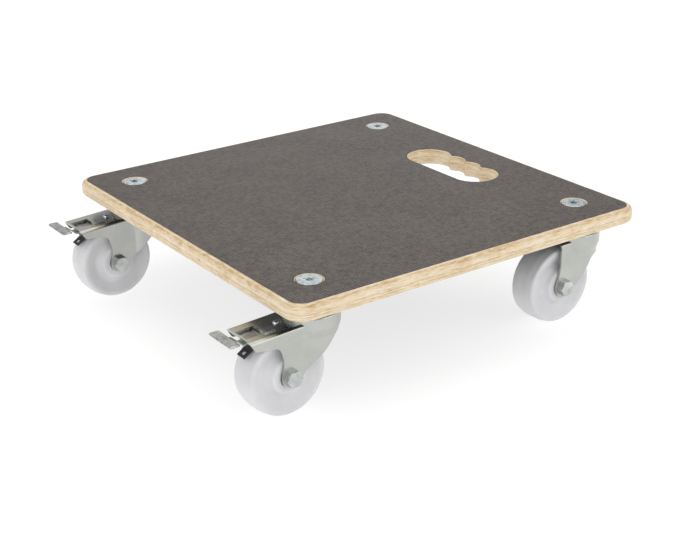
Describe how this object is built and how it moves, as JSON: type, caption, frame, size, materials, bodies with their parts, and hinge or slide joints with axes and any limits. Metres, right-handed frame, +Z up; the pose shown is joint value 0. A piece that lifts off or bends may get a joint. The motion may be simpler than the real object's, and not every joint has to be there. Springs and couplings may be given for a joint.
{
  "type": "furniture dolly",
  "caption": "Square plywood moving dolly with a hand hole, rounded edges and white swivel casters, those at one end with pedal wheel brakes.",
  "frame": {"origin": "middle of the footprint on the floor, pedals included", "axes": "+X towards the hand hole, -X towards the brake pedals, +Y to the left when facing +X, +Z up"},
  "size_m": [0.569, 0.52, 0.147],
  "materials": {
    "birch_plywood": "sanded and sealed edge, ply lines showing",
    "wire_mesh_film": "phenolic film with a fine woven wire print",
    "zinc_sheet": "pressed, zinc plated, passivated",
    "zinc_fixing": "bright zinc plated",
    "bearing_steel": "ground",
    "bright_spring_steel": "bright",
    "black_spring_steel": "blackened, oiled",
    "white_polyamide": "moulded, satin",
    "black_plastic": "moulded"
  },
  "bodies": {
    "deck": {"platform_core": "birch_plywood", "top_film": "wire_mesh_film", "bottom_film": "wire_mesh_film", "fixing_bolts": "zinc_fixing", "fixing_washers": "zinc_fixing", "fixing_nuts": "zinc_fixing", "king_rivets": "zinc_fixing", "head_plate_braked_left": "zinc_sheet", "lower_race_braked_left": "zinc_sheet", "head_plate_braked_right": "zinc_sheet", "lower_race_braked_right": "zinc_sheet", "head_plate_free_left": "zinc_sheet", "lower_race_free_left": "zinc_sheet", "head_plate_free_right": "zinc_sheet", "lower_race_free_right": "zinc_sheet"},
    "brake_braked_left": {"brake_lever_braked_left": "zinc_sheet", "brake_leaf_braked_left": "black_spring_steel"},
    "swivel_braked_left": {"fork_braked_left": "zinc_sheet", "swivel_balls_braked_left": "bearing_steel", "axle_bolt_braked_left": "zinc_fixing", "axle_nut_braked_left": "zinc_fixing", "axle_tube_braked_left": "bearing_steel", "brake_pin_braked_left": "bearing_steel", "brake_spring_braked_left": "bright_spring_steel", "nose_rivet_braked_left": "zinc_fixing"},
    "wheel_braked_left": {"wheel_braked_left": "white_polyamide", "roller_cage_braked_left": "black_plastic", "rollers_braked_left": "bearing_steel"},
    "brake_braked_right": {"brake_lever_braked_right": "zinc_sheet", "brake_leaf_braked_right": "black_spring_steel"},
    "swivel_braked_right": {"fork_braked_right": "zinc_sheet", "swivel_balls_braked_right": "bearing_steel", "axle_bolt_braked_right": "zinc_fixing", "axle_nut_braked_right": "zinc_fixing", "axle_tube_braked_right": "bearing_steel", "brake_pin_braked_right": "bearing_steel", "brake_spring_braked_right": "bright_spring_steel", "nose_rivet_braked_right": "zinc_fixing"},
    "wheel_braked_right": {"wheel_braked_right": "white_polyamide", "roller_cage_braked_right": "black_plastic", "rollers_braked_right": "bearing_steel"},
    "swivel_free_left": {"fork_free_left": "zinc_sheet", "swivel_balls_free_left": "bearing_steel", "axle_bolt_free_left": "zinc_fixing", "axle_nut_free_left": "zinc_fixing", "axle_tube_free_left": "bearing_steel"},
    "wheel_free_left": {"wheel_free_left": "white_polyamide", "roller_cage_free_left": "black_plastic", "rollers_free_left": "bearing_steel"},
    "swivel_free_right": {"fork_free_right": "zinc_sheet", "swivel_balls_free_right": "bearing_steel", "axle_bolt_free_right": "zinc_fixing", "axle_nut_free_right": "zinc_fixing", "axle_tube_free_right": "bearing_steel"},
    "wheel_free_right": {"wheel_free_right": "white_polyamide", "roller_cage_free_right": "black_plastic", "rollers_free_right": "bearing_steel"}
  },
  "joints": [
    {"name": "swivel_braked_left_turn", "type": "hinge", "parent": "deck", "child": "swivel_braked_left", "pos_m": [-0.1685, -0.202, 0.108], "axis": [0, 0, 1], "continuous": true},
    {"name": "wheel_braked_left_spin", "type": "hinge", "parent": "swivel_braked_left", "child": "wheel_braked_left", "pos_m": [-0.2105, -0.202, 0.05], "axis": [0, 1, 0], "continuous": true},
    {"name": "brake_braked_left_press", "type": "hinge", "parent": "swivel_braked_left", "child": "brake_braked_left", "pos_m": [-0.2365, -0.202, 0.0989], "axis": [0, -1, 0], "range_deg": [0, 6]},
    {"name": "swivel_braked_right_turn", "type": "hinge", "parent": "deck", "child": "swivel_braked_right", "pos_m": [-0.1685, 0.202, 0.108], "axis": [0, 0, 1], "continuous": true},
    {"name": "wheel_braked_right_spin", "type": "hinge", "parent": "swivel_braked_right", "child": "wheel_braked_right", "pos_m": [-0.2105, 0.202, 0.05], "axis": [0, 1, 0], "continuous": true},
    {"name": "brake_braked_right_press", "type": "hinge", "parent": "swivel_braked_right", "child": "brake_braked_right", "pos_m": [-0.2365, 0.202, 0.0989], "axis": [0, -1, 0], "range_deg": [0, 6]},
    {"name": "swivel_free_left_turn", "type": "hinge", "parent": "deck", "child": "swivel_free_left", "pos_m": [0.2275, -0.202, 0.108], "axis": [0, 0, 1], "continuous": true},
    {"name": "wheel_free_left_spin", "type": "hinge", "parent": "swivel_free_left", "child": "wheel_free_left", "pos_m": [0.1935, -0.202, 0.05], "axis": [0, 1, 0], "continuous": true},
    {"name": "swivel_free_right_turn", "type": "hinge", "parent": "deck", "child": "swivel_free_right", "pos_m": [0.2275, 0.202, 0.108], "axis": [0, 0, 1], "continuous": true},
    {"name": "wheel_free_right_spin", "type": "hinge", "parent": "swivel_free_right", "child": "wheel_free_right", "pos_m": [0.1935, 0.202, 0.05], "axis": [0, 1, 0], "continuous": true}
  ]
}
